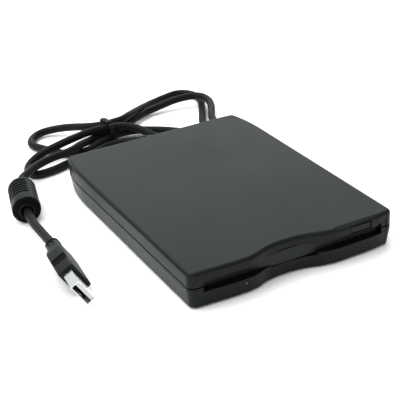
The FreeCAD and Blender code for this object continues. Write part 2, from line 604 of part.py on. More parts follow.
def rounded_path(points):
    """Straight runs joined by tangent arcs; returns the wire and the arcs' radii."""
    pts = [V(*p) for p in points]
    edges = []
    radii = []
    last = pts[0]
    for i in range(1, len(pts) - 1):
        a = pts[i] - pts[i - 1]
        b = pts[i + 1] - pts[i]
        turn = a.getAngle(b)
        reach = 0.45 * min(a.Length, b.Length)
        radii.append(reach / math.tan(turn / 2))
        p = pts[i] - a.normalize() * reach
        q = pts[i] + b.normalize() * reach
        mid = (p + q) * 0.5
        toward = (pts[i] - mid)
        h = toward.Length
        sag = radii[-1] * (1 - math.cos(turn / 2))
        m = mid + toward * (sag / h)
        edges.append(Part.LineSegment(last, p).toShape())
        edges.append(Part.Arc(p, m, q).toShape())
        last = q
    edges.append(Part.LineSegment(last, pts[-1]).toShape())
    return Part.Wire(edges), radii


def sweep_cord(points, r):
    wire, radii = rounded_path(points)
    start = V(*points[0])
    direction = (V(*points[1]) - start).normalize()
    ring = Part.Wire([Part.makeCircle(r, start, direction)])
    solid = wire.makePipeShell([ring], True, True)
    section = math.pi * r * r
    print("cord length", round(wire.Length, 1), "volume/section*length",
          round(solid.Volume / section / wire.Length, 4))
    print("cord arc radii", [round(v, 1) for v in radii])
    return solid


def ferrite():
    turn = FreeCAD.Rotation(V(0, 0, 1), BEAD_AXIS)

    def place(shape):
        shape.Placement = FreeCAD.Placement(BEAD_END, turn)
        return shape

    body = Part.makeCylinder(BEAD_R, BEAD_L)
    body = body.makeFillet(1.1, [e for e in body.Edges if e.Curve.TypeId == "Part::GeomCircle"])
    collars = [Part.makeCylinder(4.2, 1.4, V(0, 0, z)) for z in (-1.3, BEAD_L - 0.1)]
    body = fuse([body] + collars)
    body = body.cut(Part.makeCylinder(CORD_R + 0.1, BEAD_L + 6, V(0, 0, -3)))
    start = (BEAD_L - CORE_L) / 2
    core = Part.makeCylinder(CORE_R, CORE_L, V(0, 0, start))
    core = core.cut(Part.makeCylinder(CORD_R + 0.1 + 0.6, CORE_L, V(0, 0, start)))
    body = body.cut(core)
    side = turn.inverted().multVec(V(-1.0, 0.0, 0.6)).normalize()
    for k in range(RIBS):
        z = RIB_START + k * RIB_PITCH
        at = V(0, 0, z)
        ring = Part.makeCylinder(BEAD_R + 1, 1.2, at).cut(Part.makeCylinder(BEAD_R - 0.6, 1.2, at))
        half = Part.makeBox(30, 30, 30, V(-15, -15, 0))
        half.Placement = FreeCAD.Placement(V(0, 0, z) + side * 1.6, FreeCAD.Rotation(V(0, 0, 1), side))
        body = body.cut(ring.common(half))
    return place(body), place(core)


def cable_tie():
    x, w, t = TIE
    y0, y1, z0, z1 = TIE_INSIDE
    x0 = x - w / 2

    def across(shape):
        return [e for e in shape.Edges if abs(e.Vertexes[0].X - e.Vertexes[1].X) > 1]

    outer = box(x0, x0 + w, y0 - t, y1 + t, z0 - t, z1 + t)
    outer = outer.makeFillet(3.0, across(outer))
    inner = box(x0 - 1, x0 + w + 1, y0, y1, z0, z1)
    band = outer.cut(inner.makeFillet(2.1, across(inner)))
    knob = box(x - 1.7, x + 1.7, 115.2, 117.8, z1 + 0.5, z1 + 2.7)
    knob = knob.makeFillet(0.6, [e for e in knob.Edges if min(v.Z for v in e.Vertexes) > z1 + 1])
    return band.fuse(knob).removeSplitter()


def plug_frame():
    """Local x = width, local y = thickness, local z = the way the plug points."""
    roll = math.radians(PLUG_ROLL)
    right = V(-PLUG_AXIS.y, PLUG_AXIS.x, 0)
    width = right * math.cos(roll) - V(0, 0, 1) * math.sin(roll)
    thick = PLUG_AXIS.cross(width)
    m = FreeCAD.Matrix(width.x, thick.x, PLUG_AXIS.x, PLUG_START.x,
                       width.y, thick.y, PLUG_AXIS.y, PLUG_START.y,
                       width.z, thick.z, PLUG_AXIS.z, PLUG_START.z, 0, 0, 0, 1)
    return FreeCAD.Placement(m)


def rounded_rect(w, t, r, z):
    b = Part.makeBox(w, t, 1, V(-w / 2, -t / 2, z))
    b = b.makeFillet(r, [e for e in b.Edges if abs(e.Vertexes[0].Z - e.Vertexes[1].Z) > 0.5])
    face = [f for f in b.Faces if abs(f.CenterOfMass.z - z) < 1e-6][0]
    return face.OuterWire


def plug():
    place = plug_frame()
    w, t, length = GRIP
    grip1 = NECK_L + length
    sections = [(6.8, 6.2, 2.6, 0.0), (8.2, 6.6, 2.2, NECK_L - 4.5), (w, t, 1.7, NECK_L + 4.0),
                (w, t, 1.7, grip1)]
    wires = [rounded_rect(*section) for section in sections]
    body = fuse([Part.makeLoft([a, b], True) for a, b in zip(wires, wires[1:])])
    u, v, out = USB
    seat = 6.0
    body = body.cut(Part.makeBox(u, v, seat, V(-u / 2, -v / 2, grip1 - seat)))
    for s in (-1, 1):
        for y in (-2.1, 0.9):
            body = body.cut(Part.makeBox(1.4, 1.2, 1.0, V(s * 3.4 - 0.7, y, 2.6)))
        pad = 2 * PAD_DEPTH
        body = body.cut(Part.makeBox(pad, t + 2, PAD_L, V(s * w / 2 - pad / 2, -t / 2 - 1, PAD_Z)))
    shell = Part.makeBox(u, v, seat + out, V(-u / 2, -v / 2, grip1 - seat))
    corner = V(-u / 2 + USB_T, -v / 2 + USB_T, grip1 - seat + 1.0)
    hollow = Part.makeBox(u - 2 * USB_T, v - 2 * USB_T, seat + out, corner)
    shell = shell.cut(hollow)
    for s in (-1, 1):
        for zz in (-1, 1):
            y = v / 2 - 0.5 if zz > 0 else -v / 2 - 0.5
            shell = shell.cut(Part.makeBox(2.0, 1.0, 2.0, V(s * 3.0 - 1.0, y, grip1 + 5.4)))
    ty = v / 2 - USB_T - TONGUE_T
    root = V(-u / 2 + USB_T, ty, grip1 - seat + 1.0)
    tongue = Part.makeBox(u - 2 * USB_T, TONGUE_T, seat + out - 1.4, root)
    pins = []
    for x in (-3.5, -1.0, 1.0, 3.5):
        groove = Part.makeBox(1.1, 0.2, out, V(x - 0.55, ty, grip1 - 0.8))
        tongue = tongue.cut(groove)
        pins.append(groove)
    for shape in [body, shell, tongue] + pins:
        shape.Placement = place
    return body, shell, tongue, group(pins)


def small_parts():
    case_screws = []
    for x, y in screw_posts():
        head = post(x, y, 1.3, 3.0, 2.0).cut(box(x - 1.5, x + 1.5, y - 0.25, y + 0.25, 1.3, 1.9))
        case_screws.append(head.fuse(post(x, y, 3.0, 13.5, 1.0)).removeSplitter())
    mech_screws = []
    for x, y in chassis_posts():
        head = post(x, y, DECK, DECK + 1.1, 1.7)
        mech_screws.append(head.fuse(post(x, y, 1.3, DECK + 0.1, 0.75)).removeSplitter())
    feet = [post(x, y, 0, FOOT_H + FOOT_SINK, FOOT_R - 0.1) for x, y in foot_places()]
    rods = [tube_y(s * ROD_X, ROD_Z, 28.6, 58.4, ROD_R) for s in (-1, 1)]
    return group(case_screws), group(mech_screws), group(feet), group(rods)


def lamp():
    """The light guide in the case, and the lamp behind it in mechanism coordinates."""
    x, z, r = LAMP
    lens = tube_y(x, z, front_y(0.35), front_y(11.15), r)
    led = box(x - 1.5, x + 1.5, -60.5, -57.5, BOARD_TOP, z + 1.4)
    leg = box(x - 1.5, x + 1.5, -57.6, -53.9, BOARD_TOP, BOARD_TOP + 0.5)
    return lens, led.fuse(leg).removeSplitter()


def wiring():
    x, z = RELIEF
    wires = []
    y0 = MECH_FRONT - 5.2
    for k in range(4):
        dx = -2.4 + 1.6 * k
        path, radii = rounded_path([(x + dx, y0, z), (x + dx, y0 - 3.4, z + 0.4), (-2.0 + dx, 61.0, z + 0.6),
                                    (-14.0 + dx, 60.0 + 0.9 * k, z + 0.6), (-20.0, 57.4 + 0.9 * k, 7.2),
                                    (-21.0 - 1.6 * k, 55.4, 6.75)])
        ring = Part.Wire([Part.makeCircle(0.45, V(x + dx, y0, z), V(0, -1, 0.118))])
        wires.append(path.makePipeShell([ring], True, True))
    t = BOARD_TOP
    ribbon = prism([(-34, 26, t), (-34, 30.6, t), (-34, 33.4, 6.2), (-34, 38.5, 6.2), (-34, 38.5, 6.4),
                    (-34, 33.3, 6.4), (-34, 30.5, t + 0.2), (-34, 26, t + 0.2)], (10, 0, 0))
    return group(wires), ribbon


def motors():
    body = tube_y(SCREW_X, SCREW_Z, 54.8, 66.0, 6.0)
    body = body.cut(tube_y(SCREW_X, SCREW_Z, 54.0, 56.0, 1.6))
    cap = tube_y(SCREW_X, SCREW_Z, 66.0, 66.8, 4.0)
    switches = []
    for s in (-1, 1):
        x, y = s * (HOLDER_X - 8.3), -51.0
        switch = box(x - 2, x + 2, y - 1.5, y + 1.5, BOARD_TOP, 5.2).fuse(post(x, y, 5.1, 6.1, 0.6))
        switches.append(switch.removeSplitter())
    return body.fuse(cap).removeSplitter(), group(switches)


def shield():
    z0, z1 = 15.65, 15.95
    side = CHASSIS_X - 0.7
    plate = box(-side, side, -56.0, 60.0, z0, z1)
    plate = plate.cut(box(-24, 24, -50, -4, z0 - 1, z1 + 1)).cut(box(13, 29, 50, 70, z0 - 1, z1 + 1))
    parts = [plate]
    for s in (-1, 1):
        a, b = sorted((s * (side - 0.3), s * side))
        parts.append(box(a, b, 38.0, 60.0, CHASSIS_TOP, z0 + 0.1))
        a, b = sorted((s * (side - 0.3), s * CHASSIS_X))
        parts.append(box(a, b, 40.0, 58.0, CHASSIS_TOP, CHASSIS_TOP + 0.3))
    return fuse(parts)


def build():
    body = case_body()
    inside = cavity()
    mech = V(0, MECH_FRONT - HALF_L, 0)
    save(lower_shell(body, inside), "lower_shell")
    save(upper_shell(body, inside), "upper_shell")
    save(slot_door(), "slot_door")
    save(eject_button(), "eject_button")
    save(eject_slider(), "eject_slider", mech)
    save(disk_holder(), "disk_holder", mech)
    save(shutter_lever(), "shutter_lever", mech)
    save(chassis(), "chassis_frame", mech)
    names = ("motor_board", "motor_board_chips", "usb_board", "usb_board_chips", "board_standoffs")
    for shape, name in zip(boards(), names):
        save(shape, name, mech)
    for shape, name in zip(spindle(), ("spindle_stator", "spindle_rotor", "spindle_hub", "drive_pin")):
        save(shape, name, mech)
    for shape, name in zip(carriage(), ("head_carriage", "lower_head", "upper_head_arm", "upper_head")):
        save(shape, name, mech)
    save(lead_screw(), "lead_screw", mech)
    coils = [helix_coil(s * (SLIDER_X - 2.9), 36.6, 9.0, 1.8, 0.25, 1.25, 9) for s in (-1, 1)]
    save(group(coils), "eject_springs", mech)
    motor, switches = motors()
    save(motor, "stepper_motor", mech)
    save(switches, "sensing_switches", mech)
    save(shield(), "top_shield", mech)
    case_screws, mech_screws, feet, rods = small_parts()
    save(case_screws, "case_screws")
    save(mech_screws, "chassis_screws", mech)
    save(feet, "rubber_feet")
    save(rods, "guide_rods", mech)
    lens, led = lamp()
    save(lens, "led_lens")
    save(led, "activity_led", mech)
    wires, ribbon = wiring()
    save(wires, "cord_wires", CORD_SHIFT)
    save(ribbon, "ribbon_cable", mech)
    save(gland(), "strain_relief")
    save(sweep_cord(ROUTE, CORD_R), "usb_cord", CORD_SHIFT)
    cover, core = ferrite()
    save(cover, "ferrite_cover", CORD_SHIFT)
    save(core, "ferrite_core", CORD_SHIFT)
    save(cable_tie(), "cable_tie", CORD_SHIFT)
    for shape, name in zip(plug(), ("plug_grip", "plug_shell", "plug_tongue", "plug_contacts")):
        save(shape, name, CORD_SHIFT)


build()
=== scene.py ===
"""External floppy disk drive: looks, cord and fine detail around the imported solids.

Lengths of modelled pieces are in millimetres and become metres when a mesh or curve is made.
"""
import json
import math
import bpy
import bmesh
from mathutils import Vector, Matrix


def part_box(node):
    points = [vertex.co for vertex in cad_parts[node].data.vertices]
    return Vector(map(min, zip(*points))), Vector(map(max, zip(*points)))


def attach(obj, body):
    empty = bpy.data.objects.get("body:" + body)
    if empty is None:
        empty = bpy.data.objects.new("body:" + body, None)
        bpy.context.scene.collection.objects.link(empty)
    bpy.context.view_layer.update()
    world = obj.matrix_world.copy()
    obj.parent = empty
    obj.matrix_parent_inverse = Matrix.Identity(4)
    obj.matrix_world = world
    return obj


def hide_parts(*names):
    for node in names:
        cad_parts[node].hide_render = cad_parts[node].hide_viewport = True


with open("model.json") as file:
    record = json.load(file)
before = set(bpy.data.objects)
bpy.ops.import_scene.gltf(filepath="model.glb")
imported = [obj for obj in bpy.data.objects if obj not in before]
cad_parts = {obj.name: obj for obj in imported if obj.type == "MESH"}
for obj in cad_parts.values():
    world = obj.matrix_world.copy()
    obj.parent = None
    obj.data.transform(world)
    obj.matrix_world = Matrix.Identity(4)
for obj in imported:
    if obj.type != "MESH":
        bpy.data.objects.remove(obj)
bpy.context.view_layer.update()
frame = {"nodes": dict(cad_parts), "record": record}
NODES = frame["nodes"]
MM = 0.001
RIGHT = Vector((1, 0, 0))
REAR = Vector((0, 1, 0))
UP = Vector((0, 0, 1))

# ------------------------------------------------------------------ camera
AZ, EL, ROLL = (math.radians(v) for v in (-26.616, 26.907, -3.447))
AIM_X, AIM_Y, DISTANCE = 0.000139, 0.019589, 0.546175      # the point looked at, and how far off
SENSOR, LENS = 36.0, 96.647
back = Vector((math.sin(AZ) * math.cos(EL), -math.cos(AZ) * math.cos(EL), math.sin(EL)))
level = UP.cross(back).normalized()
rise = back.cross(level)
cam_x = math.cos(ROLL) * level + math.sin(ROLL) * rise
cam_y = -math.sin(ROLL) * level + math.cos(ROLL) * rise
place = Vector((AIM_X, AIM_Y, 0)) + back * DISTANCE
cam = bpy.data.objects.new("camera", bpy.data.cameras.new("camera"))
bpy.context.scene.collection.objects.link(cam)
cam.matrix_world = Matrix(((cam_x.x, cam_y.x, back.x, place.x),
                           (cam_x.y, cam_y.y, back.y, place.y),
                           (cam_x.z, cam_y.z, back.z, place.z),
                           (0, 0, 0, 1)))
cam.data.sensor_width = SENSOR
cam.data.lens = LENS
cam.data.clip_start = 0.01
bpy.context.scene.camera = cam


# ------------------------------------------------------------------ objects and meshes
def link(obj):
    bpy.context.scene.collection.objects.link(obj)
    return obj


def shade(obj, angle=35.0):
    """Smooth faces, with edges sharper than angle kept as edges."""
    me = obj.data
    for p in me.polygons:
        p.use_smooth = True
    bm = bmesh.new()
    bm.from_mesh(me)
    limit = math.radians(angle)
    for e in bm.edges:
        if len(e.link_faces) == 2:
            e.smooth = e.calc_face_angle(0) < limit
    bm.to_mesh(me)
    bm.free()


def mesh_object(name, bm, angle=35.0):
    """Make an object of bm, which rides on the case."""
    me = bpy.data.meshes.new(name)
    bm.normal_update()
    bm.to_mesh(me)
    bm.free()
    obj = link(bpy.data.objects.new(name, me))
    shade(obj, angle)
    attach(obj, "base")
    return obj


# ------------------------------------------------------------------ materials
def feed(tree, socket, source):
    """Link source to the socket, or set the socket to it when it is a plain value."""
    if hasattr(source, "is_linked"):
        tree.links.new(source, socket)
    else:
        socket.default_value = source


def add_node(tree, kind, links=(), **values):
    n = tree.nodes.new(kind)
    for key, v in values.items():
        setattr(n, key, v)
    for socket, source in links:
        feed(tree, n.inputs[socket], source)
    return n


class Mat:
    """A Principled material with short calls for the nodes used below."""

    def __init__(self, name):
        self.mat = bpy.data.materials.new(name)
        self.mat.use_nodes = True
        self.tree = self.mat.node_tree
        self.bsdf = self.tree.nodes.get("Principled BSDF")
        self.coord = self.tree.nodes.new("ShaderNodeTexCoord").outputs["Object"]

    def node(self, kind, links=(), **values):
        return add_node(self.tree, kind, links, **values)

    def noise(self, scale, detail=3.0, vector=None, rough=0.5):
        n = self.node("ShaderNodeTexNoise", [("Vector", vector or self.coord), ("Scale", scale),
                                             ("Detail", detail), ("Roughness", rough)])
        return n.outputs["Fac"]

    def stretched(self, scale):
        n = self.node("ShaderNodeMapping", [("Vector", self.coord), ("Scale", scale)])
        return n.outputs["Vector"]

    def span(self, value, a, b, lo, hi):
        n = self.node("ShaderNodeMapRange", [("Value", value), ("From Min", a), ("From Max", b),
                                             ("To Min", lo), ("To Max", hi)])
        return n.outputs["Result"]

    def math(self, op, a, b):
        return self.node("ShaderNodeMath", [(0, a), (1, b)], operation=op).outputs[0]

    def mix(self, factor, a, b):
        a, b = (c if hasattr(c, "is_linked") else (*c, 1) for c in (a, b))
        n = self.node("ShaderNodeMix", [("Factor", factor), ("A", a), ("B", b)], data_type="RGBA")
        return n.outputs["Result"]

    def bump(self, strength, distance, height, *more):
        links = [("Strength", strength), ("Distance", distance), ("Height", height), *more]
        return self.node("ShaderNodeBump", links).outputs["Normal"]

    def to(self, socket, value):
        feed(self.tree, self.bsdf.inputs[socket], value)


def edge_wear(m, radius):
    """How near a point is to a worn edge, and the normal rounded there."""
    bevel = m.node("ShaderNodeBevel", [("Radius", radius)], samples=6)
    plain = m.node("ShaderNodeNewGeometry").outputs["Normal"]
    dot = m.node("ShaderNodeVectorMath", [(0, bevel.outputs["Normal"]), (1, plain)],
                 operation="DOT_PRODUCT")
    return m.span(dot.outputs["Value"], 1.0, 0.86, 0.0, 1.0), bevel.outputs["Normal"]


def plastic(name, color, rough=0.4, grain=1500.0, bump=0.1, vary=0.15, spec=0.5, round_edge=0.0,
            wear=0.0, patches=26.0, specks=0.0):
    """Moulded plastic: spark-eroded grain, patches of sheen, handling marks, edges rubbed paler."""
    m = Mat(name)
    fine = m.noise(grain, 2.0)
    coarse = m.noise(grain * 0.23, 3.0)
    patch = m.noise(patches, 4.0, rough=0.6)
    height = m.math("ADD", m.math("MULTIPLY", fine, 0.7), m.math("MULTIPLY", coarse, 0.5))
    lo = [c * (1 - vary) for c in color]
    hi = [c * (1 + vary) for c in color]
    blotch = m.math("ADD", m.math("MULTIPLY", fine, 0.5), m.math("MULTIPLY", patch, 0.5))
    base = m.mix(m.span(blotch, 0.35, 0.65, 0.0, 1.0), lo, hi)
    roughness = m.span(patch, 0.3, 0.7, rough - 0.05, rough + 0.05)
    rounded = []
    if round_edge:
        near, normal = edge_wear(m, round_edge)
        rub = m.math("MULTIPLY", near, m.span(m.noise(180.0, 4.0), 0.35, 0.7, 0.2, 1.0))
        base = m.mix(m.math("MULTIPLY", rub, wear), base, [min(1.0, c * 3 + 0.02) for c in color])
        rounded.append(("Normal", normal))
    if specks:
        cell = m.node("ShaderNodeTexVoronoi", [("Vector", m.coord), ("Scale", 420.0)], feature="F1")
        spot = m.span(cell.outputs["Distance"], 0.10, 0.05, 0.0, specks)
        base = m.mix(spot, base, [min(1.0, c * 4 + 0.03) for c in color])
    m.to("Base Color", base)
    m.to("Roughness", roughness)
    m.to("Specular IOR Level", spec)
    m.to("Normal", m.bump(bump, 0.00015, height, *rounded))
    return m.mat


def metal(name, color, rough=0.3, stretch=(1, 1, 40), bump=0.05):
    """Rolled or plated metal: fine streaks, dull spots, softened edges."""
    m = Mat(name)
    streak = m.noise(260.0, 4.0, m.stretched(stretch))
    patch = m.noise(90.0, 4.0, rough=0.6)
    m.to("Roughness", m.math("ADD", m.span(streak, 0.3, 0.7, rough - 0.07, rough + 0.05),
                             m.span(patch, 0.45, 0.7, 0.0, 0.08)))
    m.to("Base Color", m.mix(m.span(patch, 0.35, 0.7, 0.0, 1.0), color, [c * 0.88 for c in color]))
    m.to("Metallic", 1.0)
    bevel = m.node("ShaderNodeBevel", [("Radius", 0.0001)], samples=4)
    m.to("Normal", m.bump(bump, 0.0001, streak, ("Normal", bevel.outputs["Normal"])))
    return m.mat


def board(name, mask, bare):
    """Solder mask over copper tracks, with bare pads."""
    m = Mat(name)
    tracks = m.node("ShaderNodeTexBrick", [("Vector", m.coord), ("Scale", 320.0),
                                           ("Mortar Size", 0.03), ("Color1", (1, 1, 1, 1)),
                                           ("Color2", (1, 1, 1, 1)), ("Mortar", (0, 0, 0, 1))])
    pads = m.node("ShaderNodeTexVoronoi", [("Vector", m.coord), ("Scale", 260.0)], feature="F1")
    lines = m.math("SUBTRACT", 1.0, tracks.outputs["Fac"])
    base = m.mix(m.math("MULTIPLY", lines, 0.35), mask, [c * 1.7 for c in mask])
    m.to("Base Color", m.mix(m.span(pads.outputs["Distance"], 0.16, 0.12, 0.0, 1.0), base, bare))
    m.to("Roughness", m.span(m.noise(60.0), 0.3, 0.7, 0.24, 0.36))
    m.to("Normal", m.bump(0.2, 0.0001, lines))
    return m.mat


CASE = (0.0072, 0.0089, 0.0083)
PLASTICS = {
    "case_black": dict(color=CASE, rough=0.36, grain=1500, bump=0.10, vary=0.2, spec=0.12,
                       round_edge=0.00015, wear=0.05),
    # door_black is painted light: a lighter copy of case_black that stands in for light falling on
    # the door in its slot. The lamp's collar also uses it.
    "door_black": dict(color=(0.0100, 0.0120, 0.0114), rough=0.40, grain=1500, bump=0.08, vary=0.15,
                       spec=0.2, round_edge=0.0001, wear=0.1),
    "button_black": dict(color=CASE, rough=0.34, grain=1500, bump=0.08, vary=0.15, spec=0.15,
                         round_edge=0.0002, wear=0.15),
    "cord_black": dict(color=(0.0038, 0.0050, 0.0044), rough=0.5, grain=900, bump=0.12, vary=0.2,
                       spec=0.13, patches=60.0),
    "bead_black": dict(color=(0.0052, 0.0068, 0.0066), rough=0.42, grain=1100, bump=0.10, vary=0.2,
                       spec=0.09, round_edge=0.0001, wear=0.1),
    "grip_black": dict(color=(0.0064, 0.0078, 0.0076), rough=0.44, grain=1100, bump=0.12, vary=0.2,
                       spec=0.15, round_edge=0.0001, wear=0.15),
    "tie_black": dict(color=(0.0050, 0.0065, 0.0062), rough=0.5, grain=1000, bump=0.10, vary=0.2,
                      spec=0.15, round_edge=0.0001, wear=0.1),
    # pad_black is darker and rougher than the other blacks. It covers the grip's finger pads, and
    # is painted shade in the grip's slots and neck groove and on the bead's grooves, bore and end
    # faces.
    "pad_black": dict(color=(0.0028, 0.0029, 0.0029), rough=0.6, grain=1400, bump=0.3, vary=0.2,
                      spec=0.06),
    "rubber_black": dict(color=(0.013, 0.013, 0.013), rough=0.72, grain=1200, bump=0.25, vary=0.25,
                         spec=0.3, round_edge=0.0002, wear=0.4),
    "grey_plastic": dict(color=(0.10, 0.10, 0.10), rough=0.45, grain=900, bump=0.08, vary=0.08,
                         spec=0.4, round_edge=0.0002, wear=0.1),
    "chip_black": dict(color=(0.02, 0.02, 0.02), rough=0.5, grain=1800, bump=0.12, vary=0.1,
                       spec=0.4, round_edge=0.0001, wear=0.2),
    "ferrite_grey": dict(color=(0.07, 0.07, 0.072), rough=0.6, grain=1200, bump=0.25, vary=0.15,
                         spec=0.4, round_edge=0.0002, wear=0.2, specks=0.3),
    "ribbon_white": dict(color=(0.7, 0.7, 0.67), rough=0.4, grain=500, bump=0.06, vary=0.04),
    "tongue_white": dict(color=(0.72, 0.72, 0.70), rough=0.42, grain=900, bump=0.06, vary=0.04,
                         spec=0.5, round_edge=0.0001),
    "lens_clear": dict(color=(0.06, 0.06, 0.055), rough=0.25, grain=700, bump=0.04, vary=0.1,
                       spec=0.35),
}
METALS = {
    "steel": dict(color=(0.58, 0.59, 0.60), rough=0.36),
    "plug_metal": dict(color=(0.84, 0.84, 0.83), rough=0.24, stretch=(3, 1, 3)),
    "contact_gold": dict(color=(0.83, 0.60, 0.24), rough=0.25),
    "copper_coils": dict(color=(0.72, 0.40, 0.2), rough=0.4, stretch=(1, 1, 12), bump=0.4),
}
M = {name: plastic(name, **look) for name, look in PLASTICS.items()}
M.update({name: metal(name, **look) for name, look in METALS.items()})
M["board_green"] = board("board_green", (0.012, 0.09, 0.04), (0.55, 0.5, 0.36))
SLOTS = {s["node"]: s["material_slot"] for s in frame["record"]["subparts"]}


def paint(obj, slot, *more):
    obj.data.materials.clear()
    for s in (slot, *more):
        obj.data.materials.append(M[s])
    return obj


for name, obj in NODES.items():
    paint(obj, SLOTS[name])
    for p in obj.data.polygons:
        p.use_smooth = True

# ------------------------------------------------------------------ cord
CORD_D = 4.4
ROUTE = [
    (8.0, 84.75, 6.5), (8.0, 92.0, 6.5), (5.5, 99.0, 3.0), (-8.75, 107.25, 2.3),
    (-27.0, 98.75, 2.3), (-40.25, 96.0, 2.3), (-51.25, 91.5, 2.3), (-63.75, 91.0, 2.3),
    (-63.0, 103.0, 2.3), (-53.25, 108.25, 5.8), (-36.75, 110.75, 8.3), (-14.75, 117.0, 8.8),
    (5.0, 112.0, 8.3), (14.0, 97.75, 3.0), (22.0, 84.75, 2.3), (34.0, 78.75, 2.3),
    (44.0, 84.75, 2.3), (45.25, 101.0, 2.3), (55.0, 118.25, 2.3), (65.75, 141.25, 2.3),
    (58.0, 154.75, 2.6), (42.25, 150.75, 2.4), (28.25, 143.25, 3.6), (11.0, 126.5, 8.2),
    (2.5, 120.75, 8.4), (-14.0, 121.0, 8.4), (-25.75, 138.25, 5.2), (-40.5, 146.0, 2.3),
    (-51.0, 132.5, 2.3), (-44.0, 118.75, 2.3), (-38.0, 108.05, 2.3), (-27.5, 103.25, 2.3),
    (-14.25, 111.0, 3.0), (4.25, 115.75, 3.5), (18.25, 109.75, 2.5), (28.0, 98.75, 3.2),
    (30.0, 88.75, 4.6), (38.5, 82.75, 7.0), (46.75, 86.75, 7.3), (49.75, 97.75, 7.3),
    (56.25, 108.5, 7.3), (61.5, 121.25, 7.3), (60.0, 132.75, 7.3), (46.25, 135.5, 6.8),
    (34.25, 137.25, 3.7), (22.8, 134.75, 3.2), (4.0, 121.55, 3.5), (-13.0, 118.75, 3.5),
    (-20.5, 112.5, 4.6), (-29.25, 104.25, 7.6), (-37.75, 98.5, 7.6), (-50.5, 97.25, 7.3),
    (-62.25, 91.0, 7.3), (-69.25, 84.25, 7.4), (-74.25, 79.75, 7.3), (-84.75, 37.25, 7.3),
    (-85.0, 17.5, 7.6), (-85.25, 2.75, 8.4)]
BEAD_FROM, BEAD_TOWARD = Vector(ROUTE[-3]), Vector(ROUTE[-4])     # the run that the bead is on
CORD_END = Vector(ROUTE[-1])
curve = bpy.data.curves.new("usb_cord_curve", "CURVE")
curve.dimensions = "3D"
spline = curve.splines.new("NURBS")
spline.points.add(len(ROUTE) - 1)
for point, (x, y, z) in zip(spline.points, ROUTE):
    point.co = (x * MM, y * MM, z * MM, 1.0)
    point.radius = CORD_D / 2 * MM           # in units of the curve's bevel_depth, which is 1
spline.order_u = 3
spline.use_endpoint_u = True
spline.resolution_u = 10
curve.resolution_u = 10
curve.bevel_depth = 1.0
curve.bevel_resolution = 6
curve.use_fill_caps = True
cord = link(bpy.data.objects.new("usb_cord_curve", curve))
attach(cord, "base")
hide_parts("usb_cord")
curve.materials.append(M["cord_black"])


# ------------------------------------------------------------------ shapes for modelled pieces
def smooth(t):
    """0 below 0, 1 above 1, an S curve between."""
    t = min(1.0, max(0.0, t))
    return t * t * (3 - 2 * t)


def angle_from(a, middle):
    """Signed angle of a from middle, within half a turn."""
    return math.atan2(math.sin(a - middle), math.cos(a - middle))


def lofted(name, rings, closed=False, angle=35.0):
    """Skin rings of equally many points; closed joins last to first, else both ends are capped."""
    bm = bmesh.new()
    rows = [[bm.verts.new(p * MM) for p in ring] for ring in rings]
    pairs = list(zip(rows, rows[1:])) + ([(rows[-1], rows[0])] if closed else [])
    for a, b in pairs:
        for i in range(len(a)):
            j = (i + 1) % len(a)
            bm.faces.new((a[i], a[j], b[j], b[i]))
    if not closed:
        bm.faces.new(rows[0])
        bm.faces.new(rows[-1])
    bmesh.ops.recalc_face_normals(bm, faces=bm.faces)
    return mesh_object(name, bm, angle)


def turned(name, profile, at, axis, side, count, relief=None, closed=True):
    """Turn (z, r) points round axis; relief(z, angle, radius) may change the radius."""
    across = axis.cross(side)
    rings = []
    for z, r in profile:
        ring = []
        for k in range(count):
            a = 2 * math.pi * k / count
            rr = relief(z, a, r) if relief else r
            ring.append(at + axis * z + (side * math.cos(a) + across * math.sin(a)) * rr)
        rings.append(ring)
    return lofted(name, rings, closed)


def rounded_rect(w, t, r, corner=6, side=5):
    """Points of a rounded rectangle, the same number for every size."""
    pts = []
    centres = [(w / 2 - r, t / 2 - r, 0), (r - w / 2, t / 2 - r, 90), (r - w / 2, r - t / 2, 180),
               (w / 2 - r, r - t / 2, 270)]
    for n, (cx, cy, a0) in enumerate(centres):
        turns = [math.radians(a0 + 90 * k / corner) for k in range(corner + 1)]
        arc = [(cx + r * math.cos(a), cy + r * math.sin(a)) for a in turns]
        nx, ny, na = centres[(n + 1) % 4]
        start = (nx + r * math.cos(math.radians(na)), ny + r * math.sin(math.radians(na)))
        end = arc[-1]
        pts += arc + [tuple(e + (s - e) * k / side for e, s in zip(end, start))
                      for k in range(1, side)]
    return pts


def block(name, at, size, bevel, segments):
    """A box about at with its edges rounded."""
    bm = bmesh.new()
    bmesh.ops.create_cube(bm, size=1.0)
    for v in bm.verts:
        v.co = (at + Vector([c * s for c, s in zip(v.co, size)])) * MM
    bmesh.ops.bevel(bm, geom=bm.edges, offset=bevel * MM, segments=segments, affect="EDGES",
                    profile=0.5)
    bmesh.ops.recalc_face_normals(bm, faces=bm.faces)
    return mesh_object(name, bm)


def arc_steps(z0, r0, z1, r1, n=5, out=True):
    """A quarter round between two points of a turned profile, bulging out or in."""
    pts = []
    for k in range(n + 1):
        a = math.pi / 2 * k / n
        if out:
            pts.append((z1 + (z0 - z1) * math.cos(a), r0 + (r1 - r0) * math.sin(a)))
        else:
            pts.append((z0 + (z1 - z0) * math.sin(a), r1 + (r0 - r1) * math.cos(a)))
    return pts


# ---- ferrite bead: turned barrel with grooves on one side, a split line, a ring at each end ----
BEAD_R, BEAD_L, BEAD_EDGE = 7.2, 25.4, 1.2
BEAD_AHEAD = 8.0                             # from the route's point to the near end face
BARREL_STEPS = 92
GROOVES, GROOVE_FIRST, GROOVE_PITCH = 6, 8.1, 2.7
GROOVE_HALF, GROOVE_FLANK, GROOVE_DEPTH = 0.6, 0.25, 0.95
GROOVE_MID = math.radians(148)               # the grooves lie about this angle
GROOVE_REACH, GROOVE_RUNOUT = math.radians(82), math.radians(11)
SPLIT = math.radians(31)                     # the cover's two halves meet here and opposite
SPLIT_DEPTH = 0.4
bead_axis = (BEAD_TOWARD - BEAD_FROM).normalized()
bead_at = BEAD_FROM + bead_axis * BEAD_AHEAD


